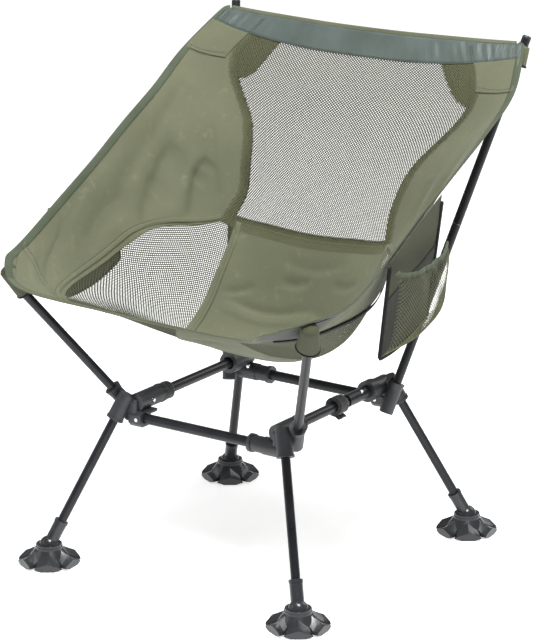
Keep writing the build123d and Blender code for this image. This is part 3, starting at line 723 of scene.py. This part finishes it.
def back_net_edging():
    """Doubled net along the back's edges and in its top corners, with its stitching."""
    def inside(u, v):
        edge = wing_inner(v, u)
        side = np.abs(u) > edge - NET_HEM
        low = v < SEAT_SEAM + 0.016
        corner = ((edge - np.abs(u)) * 0.26) ** 2 + ((band_low(u) - v) * 0.56) ** 2 < 0.052 ** 2
        within = (np.abs(u) < edge + 0.010) & (v > SEAT_SEAM - 0.010) & (v < band_low(u) + 0.010)
        return (side | low | corner) & within
    layers = [sling_net(inside, 0.35 * MM, 1.75 * MM, 0.35 * MM, (1, 0)),
              sling_net(inside, -0.9 * MM, 1.5 * MM, 0.3 * MM, (0.5, 0.5))]
    add_piece("back_net_edging", merged(layers), "net_dense")
    for side in (-1, 1):
        for inset in (0.006, NET_HEM - 0.003):
            sew(seam_path(lambda v: wing_inner(v, side) - inset, SEAT_SEAM + 0.002, 0.93, side, 25), 1.1 * MM)
    for v in (SEAT_SEAM + 0.003, SEAT_SEAM + 0.014):
        sew(uv_line(np.linspace(-0.47, 0.47, 15), v), 1.1 * MM)


def side_nets():
    """The see-through windows on each side of the seat."""
    for word, side in SIDES:
        def inside(u, v):
            across = (u * side < window_outer(v) + 0.008) & (u * side > window_inner(v, side) - 0.008)
            return across & (v > HEM_V) & (v < SEAT_SEAM + 0.01)
        solid = sling_net(inside, -0.4 * MM, NET_STRAND, 0.3 * MM)
        piece = add_piece(f"side_net_{word}", solid, "net", f"side_mesh_{word}")
        u, v = grid(lambda v: window_inner(v, side), window_outer, 0.0, SEAT_SEAM, 30, 30)
        declare_on_sling(u, v, NET_COVER)


def band():
    """The sleek top band with its puckers, and the stitched lines along and across it."""
    u = np.linspace(-0.985, 0.985, 241)[:, None] * np.ones((1, 13))
    t = np.linspace(0, 1, 13)[None, :]
    v = band_low(u) * (1 - t) + TOP_V * t
    pucker = np.sin(u * 61 + 2.1 * np.sin(u * 17)) * 0.5 + np.sin(u * 118 + 1.2) * 0.3
    height = 1.0 * MM + pucker * 0.7 * MM * np.sin(math.pi * t) ** 0.7
    piece = add_piece("top_band_lining", cloth_sheet(u, v, height), "band", "top_band")
    declare_on_sling(u, v)
    across = np.linspace(-0.97, 0.97, 41)
    sew(uv_line(across, band_low(across) + 0.004), 2.2 * MM)
    for line_u in (-0.955, -0.925, -0.895, -0.66, -0.648, 0.66, 0.648, 0.895, 0.925, 0.955):
        sew(uv_line(line_u, np.linspace(float(band_low(line_u)) + 0.002, 0.982, 5)), 2.3 * MM)


def edge_binding(name, uv_path, material, node, width=BINDING_W):
    """A tape folded round the cloth's edge, with its stitching.  uv_path runs with the cloth on its left."""
    path, normal = on_skin(uv_path, 0.0, 3.5 * MM)
    out, up = frames(path, normal)
    w, t = width, BINDING_T / 2
    inner_face = [(-w, 0.42 * t), (-w * 0.97, t * 0.8), (-w * 0.86, t), (-w * 0.5, t * 0.88), (-w * 0.18, t),
                  (0, t * 0.72)]
    outer_face = [(x, -z) for x, z in reversed(inner_face)]
    solid = sweep(path, out, up, inner_face + [(0.06 * w, 0)] + outer_face)
    add_piece(name, solid, material, node)
    for sign in (1, -1):
        line = path - out * (w * 0.8) + up * (sign * t * 1.04)
        run = distance(line)
        share = np.linspace(0, 1, max(int(round(run[-1] / (1.9 * MM))), 2) + 1)
        line = interpolate(share * run[-1], run, line)
        stitch(line, interpolate(share, np.linspace(0, 1, len(up)), up), 0.66)


def bindings():
    """The bound edge of the whole seat."""
    turn = np.linspace(0, math.pi / 2, 9)
    corner = uv_line(1 - CORNER_U * (1 - np.sin(turn)), CORNER_V * (1 - np.cos(turn)))
    edge = uv_line(1.0, np.linspace(CORNER_V * 1.3, 0.97, 26))
    left = np.concatenate([corner, edge, [(0.992, 0.992), (0.965, 0.999)]])
    for word, side in SIDES:
        edge_binding(f"side_binding_{word}", (left * (side, 1))[::side], "binding", f"side_tape_{word}")
    u = np.linspace(-1, 1, 31) * (1 - CORNER_U)
    edge_binding("front_binding", uv_line(u, 0.0), "hem", "front_hem")
    edge_binding("top_binding", uv_line(u[::-1] * 1.095, 1.0), "hem", "top_hem", TOP_BINDING_W)


def patch(name, corners, height, material):
    """A reinforcement between four (u, v) corners, in order round it, inside for a positive height."""
    a, b, c, d = corners
    s = np.linspace(0, 1, 25)[:, None, None]
    t = np.linspace(0, 1, 25)[None, :, None]
    uv = (a * (1 - s) + b * s) * (1 - t) + (d * (1 - s) + c * s) * t
    add_piece(name, cloth_sheet(uv[..., 0], uv[..., 1], height), material)


def corner_patches():
    """Doubled cloth where the poles pull: each front corner and each top corner."""
    for word, side in SIDES:
        flip = (side, 1)
        corners = np.array([(0.988, 0.155), (0.715, 0.108), (0.60, 0.004), (0.895, 0.009)]) * flip
        patch(f"front_corner_patch_{word}_1", corners, 0.9 * MM, "cloth")
        patch(f"front_corner_patch_{word}_2", corners, -1.0 * MM, "cloth_under")
        for inset in (0.0, 0.016):
            row = [(0.985, 0.150 - inset), (0.86, 0.138 - inset), (0.735, 0.104 - inset),
                   (0.66 + inset, 0.050), (0.617 + inset, 0.014)]
            sew(np.array(row) * flip, 1.6 * MM)
        sew(np.array([(0.962, 0.10), (0.90, 0.055), (0.82, 0.016)]) * flip, 1.6 * MM)
        corners = np.array([(0.992, 0.862), (0.655, 0.882), (0.655, 0.945), (0.985, 0.955)]) * flip
        patch(f"top_corner_patch_{word}", corners, 0.9 * MM, "cloth")
        for inset in (0.003, 0.013):
            row = [(0.96, 0.860 + inset), (0.80, 0.868 + inset), (0.665, 0.880 + inset)]
            sew(np.array(row) * flip, 1.6 * MM)


def webbing():
    """Black webbing sewn under each side, along the window's outer seam."""
    for word, side in SIDES:
        path = seam_path(lambda v: window_outer(v) + 0.032, 0.05, 0.42, side, 12)
        solid = tape(path, WEBBING_W, WEBBING_T, -2.4 * MM)
        add_piece(f"edge_webbing_{word}", solid, "black_tape", f"side_webbing_{word}")


# ---------------- pockets on the uprights' tips
POCKET_END = 36 * MM                # how far a pocket's mouth is down its upright
POCKET_T = 0.9 * MM
POCKET_RINGS, POCKET_POINTS = 19, 32


def upright_line(node):
    """Tip and downward direction of an upright, from its CAD tube."""
    co = np.array([p.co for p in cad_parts[node].data.vertices])
    top = co[co[:, 2] > co[:, 2].max() - 3 * MM].mean(0)
    low = co[co[:, 2] < co[:, 2].min() + 3 * MM].mean(0)
    return top, unit(low - top)


def pocket_sizes(front):
    """Where a pocket starts along its upright, and the half width and half depth of each of its rings."""
    steps = np.linspace(0, 1, POCKET_RINGS)
    dome = np.sqrt(np.clip(1 - (1 - np.clip(steps / 0.14, 0, 1)) ** 2, 0.0, 1))
    grow = dome if front else 0.72 + 0.28 * dome
    return -8 * MM if front else 9 * MM, (10.5 + 4.5 * steps) * grow * MM, (10.5 + 1.5 * steps) * grow * MM


def pocket(name, node, side, front):
    """A cloth pocket that an upright's tip pushes into, with a bound mouth."""
    tip, down = upright_line(node)
    face = unit(np.array([side * 0.35, -1.0, 0.1]) if front else np.array([side * 0.2, 1.0, 0.1]))
    out = unit(np.cross(down, face))
    face = np.cross(out, down)
    start, wide, deep = pocket_sizes(front)
    path = tip[None] + down * np.linspace(start, POCKET_END, POCKET_RINGS)[:, None]
    turn = np.linspace(0, 2 * math.pi, POCKET_POINTS + 1)[:-1, None]

    def ring(k, inset):
        w, d = max(wide[k] - inset, 0.0002), max(deep[k] - inset, 0.0002)
        return path[k] + out * np.cos(turn) * w + face * np.sin(turn) * d
    rings = [ring(k, 0) for k in range(1, POCKET_RINGS)]
    rings += [ring(k, POCKET_T) for k in range(POCKET_RINGS - 1, 1, -1)]
    verts = np.concatenate(rings + [path[:1], path[1:2] + down * POCKET_T])
    here = np.arange(POCKET_POINTS)
    there = np.roll(here, -1)
    faces = []
    for r in range(len(rings) - 1):
        a, b = r * POCKET_POINTS, (r + 1) * POCKET_POINTS
        faces.extend(np.stack([a + here, a + there, b + there, b + here], -1).tolist())
    outer_tip, inner_tip = 0 * here + len(verts) - 2, 0 * here + len(verts) - 1
    faces.extend(np.stack([outer_tip, there, here], -1).tolist())
    faces.extend(np.stack([inner_tip, b + here, b + there], -1).tolist())
    uvs = np.stack([verts[:, 0] + verts[:, 1], verts[:, 2]], -1)
    # Front pockets use the darker cloth copy: painted shade.
    add_piece(f"tip_pocket_{name}", (verts, faces, uvs), "cloth_painted_shade" if front else "cloth",
              f"pole_pocket_{name}")
    mouth = ring(POCKET_RINGS - 1, 0)
    mouth = np.concatenate([mouth, mouth[:1]])
    rim = sweep(mouth, unit(mouth - path[-1]), np.tile(-down, (len(mouth), 1)),
                np.array([(0.9, 0), (0.5, 1.9), (-0.9, 1.5), (-1.1, -0.6), (0.3, -0.9)]) * MM)
    add_piece(f"pocket_binding_{name}", rim, "black_tape")


def pockets():
    for end, tube in (("front", "upright_front"), ("back", "upright_upper_back")):
        for word, side in SIDES:
            pocket(f"{end}_{word}", f"{tube}_{word}", side, end == "front")


# ---------------- side bags
BAG_FRONT = np.array((257.0, -95.0 + BASE_Y, 452.0)) * MM       # the backing's top corners
BAG_BACK = np.array((259.0, 18.0 + BASE_Y, 512.0)) * MM
BAG_RIM_Z, BAG_RIM_RISE, BAG_RIM_DIP = 438 * MM, 12 * MM, 12 * MM
BAG_BOTTOM_Z, BAG_BOTTOM_RISE = 328 * MM, 26 * MM
BAG_LEAN, BAG_BULGE, BAG_NARROWING = 0.12, 36 * MM, 4 * MM
BAG_W, BAG_H = 128 * MM, 155 * MM                               # flat size of the backing
BAG_NET_W, BAG_NET_H = 185 * MM, 135 * MM
BAG_NET_PITCH, BAG_STRAND = 6.4 * MM, 0.85 * MM
BAG_NET_COVER = 0.45
# Below this row a near-black sheet covers the backing: painted shadow inside the bag.
SHADE_SHEET_START = 19                                               # the backing's row where the net's rim hangs
SHADE_SHEET_SHARE = 0.62                                             # share of the backing below that row


def bag_line(a):
    """Top edge and bottom height of a bag at a, from 0 at its front to 1 at its back."""
    return BAG_FRONT + (BAG_BACK - BAG_FRONT) * a[..., None], BAG_BOTTOM_Z + BAG_BOTTOM_RISE * a * a


def bag_backing(a, b):
    """The bag's backing: a from front to back, b from the seat's edge down."""
    top, bottom = bag_line(a)
    drop = (top[..., 2] - bottom) * b
    y = top[..., 1] - BAG_NARROWING * a * b
    return np.stack([top[..., 0] - BAG_LEAN * drop, y, top[..., 2] - drop], -1)


def bag_front(a, b):
    """The bag's net front: a from front to back, b from the rim down."""
    top, bottom = bag_line(a)
    rim = BAG_RIM_Z + BAG_RIM_RISE * a - BAG_RIM_DIP * np.sin(math.pi * np.clip(a, 0, 1)) ** 0.5
    z = rim - (rim - bottom) * b
    fall = (1 - np.abs(2 * b - 0.85) ** 4 * 0.55) * np.cos(math.pi / 2 * np.clip(b, 0, 1) ** 9 * 0.93)
    swell = np.sin(math.pi * (0.03 + 0.94 * a)) ** 0.3 * fall
    gather = 1.6 * MM * np.sin(a * 26) * np.clip(1 - b * 2.2, 0, 1) + 1.5 * MM * np.sin(a * 9 + b * 7)
    x = top[..., 0] - BAG_LEAN * (top[..., 2] - z) + 1.8 * MM + (BAG_BULGE - 2 * MM) * swell + gather * swell
    y = top[..., 1] - BAG_NARROWING * a * b + (5 * a ** 3 - 4 * (1 - a) ** 4) * MM * fall
    return np.stack([x, y, z], -1)


def bag_cloth(word, side):
    """Backing of one bag, in the darker cloth copy that paints shade, and a near-black sheet in front of its
    lower part, inside the bag, that paints the shadow there.
    """
    a, b = np.meshgrid(np.linspace(0, 1, 41), np.linspace(0, 1, 49), indexing="ij")
    points = bag_backing(a, b)
    points[..., 0] += 0.8 * MM * np.sin(a * 7 + b * 5) * np.sin(b * 4)
    uv = np.stack([a * BAG_W, b * BAG_H], -1)
    solid = mirrored(shell(points, CLOTH_T, uv), side)
    # The backing uses the darker cloth copy: painted shade inside the bag.
    piece = add_piece(f"bag_back_cloth_{word}", solid, "cloth_painted_shade", f"bag_backing_{word}")
    declare(BAG_W, BAG_H, sheet_area(points))
    # A near-black sheet just in front of the backing, below the rim: painted shadow inside the bag.
    shade_points = points[:, SHADE_SHEET_START:] + (1.0 * MM, 0, 0)
    solid = mirrored(shell(shade_points, 0.4 * MM, uv[:, SHADE_SHEET_START:]), side)
    piece = add_piece(f"bag_shade_sheet_{word}", solid, "shade_sheet")
    declare(BAG_W, BAG_H * SHADE_SHEET_SHARE, sheet_area(shade_points))


def bag_net(word, side):
    """Net front of one bag."""
    def place(x, y):
        d = 0.004
        s, t = x / BAG_NET_W, y / BAG_NET_H
        du, dv = bag_front(s + d, t) - bag_front(s - d, t), bag_front(s, t + d) - bag_front(s, t - d)
        return bag_front(s, t), unit(np.cross(du, dv))

    def inside(x, y):
        return (x > 0.0) & (x < BAG_NET_W) & (y > 0.0) & (y < BAG_NET_H * 0.995)
    solid = net(place, inside, (0, BAG_NET_W), (0, BAG_NET_H), BAG_NET_PITCH, BAG_STRAND, 0.3 * MM)
    piece = add_piece(f"bag_net_{word}", mirrored(solid, side), "net_dark", f"bag_mesh_{word}")
    area = BAG_NET_W * BAG_NET_H * BAG_NET_COVER
    declare(BAG_NET_W, BAG_NET_H, area)


def bag_rim(word, side):
    """Elastic rim of one bag, slightly wavy."""
    s = np.linspace(0, 1, 61)
    path = bag_front(s, 0 * s - 0.012)
    out, up = frames(path, (0, 0, 1.0))
    x, z = 1.3 * MM, 4.6 * MM
    profile = np.array([(-x, -z), (-x, z * 0.9), (0, z), (x, z * 0.9), (x, -z), (0, -z * 1.05)])
    wave = uv_line(0.5 * MM * np.sin(s * 70), 0.0)
    solid = mirrored(sweep(path, out, up, profile[None] + wave[:, None]), side)
    add_piece(f"bag_rim_tape_{word}", solid, "binding", f"bag_rim_{word}")


def bag_edges(word, side):
    """Black binding round the backing's free edges."""
    a, b = np.linspace(0, 1, 40), np.linspace(0.06, 1, 40)
    edges = (bag_backing(0 * b, b) + (0.9 * MM, -1.0 * MM, 0),
             bag_backing(a, 0 * a + 1) + (0.9 * MM, 0, -1.0 * MM),
             bag_backing(0 * b + 1, b) + (0.9 * MM, 1.0 * MM, 0))
    w, t = 2.6 * MM, 1.9 * MM
    profile = [(w, 0), (w * 0.7, t), (-w * 0.7, t), (-w, 0), (-w * 0.7, -t), (w * 0.7, -t)]
    solid = merged([sweep(path, *frames(path, (1.0, 0, 0)), profile) for path in edges])
    add_piece(f"bag_edge_binding_{word}", mirrored(solid, side), "black_tape")


# ---------------- straps on the side bars
STRAP_BORE = 7.0 * MM               # inner radius, round the bar
STRAP_TURNS = 3
POINTS_A_TURN = 40


def wound_strap(word, side, outer, width):
    """Hook-and-loop tape wound round a side bar, ending in a loose tab."""
    low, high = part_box(f"strap_{word}")
    centre = np.array([(low.x + high.x) / 2, (low.y + high.y) / 2, high.z - outer])
    thickness = (outer - STRAP_BORE) / STRAP_TURNS
    theta = np.linspace(0, STRAP_TURNS * 2 * math.pi, STRAP_TURNS * POINTS_A_TURN)
    radius = STRAP_BORE + thickness * 0.5 + (outer - STRAP_BORE - thickness) * theta / theta[-1]
    x = centre[0] + side * np.sin(theta) * radius
    z = centre[2] - np.cos(theta) * radius
    tab = np.linspace(0.12, 1, 7)
    x = np.concatenate([x, x[-1] + side * tab * 8 * MM])[:, None]
    z = np.concatenate([z, z[-1] - tab ** 2 * 3.5 * MM])[:, None]
    rows = np.linspace(-width / 2, width / 2, 13)[None, :]
    wave = 0.25 * MM * np.sin(rows / width * 9)
    points = np.stack(np.broadcast_arrays(x, centre[1] + rows, z + wave), -1)
    uvs = np.stack(np.broadcast_arrays(np.arange(len(x))[:, None] * 1.5 * MM, rows), -1)
    add_piece(f"hook_strap_{word}", shell(points, thickness * 0.8, uvs), "strap", f"strap_{word}",
              f"strap_{word}")


# ---------------- surroundings
# Lights: name, place, size, power in watts.
LIGHTS = (("key", (1.0, -0.7, 3.4), 1.1, 125), ("fill", (-2.4, -1.8, 1.6), 1.6, 9),
          ("top", (0.1, -0.2, 3.2), 1.6, 42), ("back", (0.8, 2.6, 1.8), 1.4, 16))
LIGHT_TARGET = Vector((0, 0, 0.35))
FLOOR_REACH = 6.0
AZIMUTH, ELEVATION, ROLL = math.radians(34.967), math.radians(16.739), math.radians(-0.264)
TARGET, DISTANCE = Vector((0, 0.00424, 0.30885)), 3.8402
SENSOR_MM, LENS_MM = 36.0, 167.08331


def floor():
    """A pale floor that stays nearly white."""
    mesh = bpy.data.meshes.new("floor")
    corners = [(x * FLOOR_REACH, y * FLOOR_REACH, 0) for x, y in ((-1, -1), (1, -1), (1, 1), (-1, 1))]
    mesh.from_pydata(corners, [], [(0, 1, 2, 3)])
    piece = bpy.data.objects.new("floor", mesh)
    bpy.context.scene.collection.objects.link(piece)
    m = Nodes("pale_floor")
    m.set(Base_Color=(0.82, 0.82, 0.82, 1), Roughness=0.9, Emission_Color=(1, 1, 1, 1),
          Emission_Strength=0.64)
    mesh.materials.append(m.material)


def studio():
    """A soft white world and four area lights that aim at the chair."""
    world = bpy.data.worlds.new("studio")
    world.use_nodes = True
    background = world.node_tree.nodes["Background"]
    background.inputs["Color"].default_value = (1, 1, 1, 1)
    background.inputs["Strength"].default_value = 0.24
    bpy.context.scene.world = world
    for name, place, size, power in LIGHTS:
        light = bpy.data.lights.new(name, "AREA")
        light.size = size
        light.energy = power
        lamp = bpy.data.objects.new(name, light)
        lamp.location = place
        lamp.rotation_euler = (LIGHT_TARGET - Vector(place)).to_track_quat("-Z", "Y").to_euler()
        bpy.context.scene.collection.objects.link(lamp)


def camera():
    """The camera, from the chair's front left and a little above."""
    flat = math.cos(ELEVATION)
    back = Vector((math.sin(AZIMUTH) * flat, -math.cos(AZIMUTH) * flat, math.sin(ELEVATION)))
    right = Vector((0, 0, 1)).cross(back).normalized()
    up = back.cross(right)
    turned = right * math.cos(ROLL) + up * math.sin(ROLL)
    upright = up * math.cos(ROLL) - right * math.sin(ROLL)
    data = bpy.data.cameras.new("camera")
    data.sensor_width = SENSOR_MM
    data.lens = LENS_MM
    data.clip_end = 50
    piece = bpy.data.objects.new("camera", data)
    axes = Matrix((turned, upright, back)).transposed().to_4x4()
    piece.matrix_world = Matrix.Translation(TARGET + back * DISTANCE) @ axes
    bpy.context.scene.collection.objects.link(piece)
    bpy.context.scene.camera = piece
    bpy.context.scene.view_settings.view_transform = "Standard"


floor()
studio()
camera()
finish_cad_nodes()
seat_cloth()
seams()
back_net()
back_net_edging()
side_nets()
band()
bindings()
corner_patches()
webbing()
pockets()
for word, side in SIDES:
    bag_cloth(word, side)
    bag_net(word, side)
    bag_rim(word, side)
    bag_edges(word, side)
wound_strap("right", -1, 12.4 * MM, 16 * MM)
wound_strap("left", 1, 13.2 * MM, 18 * MM)
add_piece("stitching", merged(STITCHES), "thread")
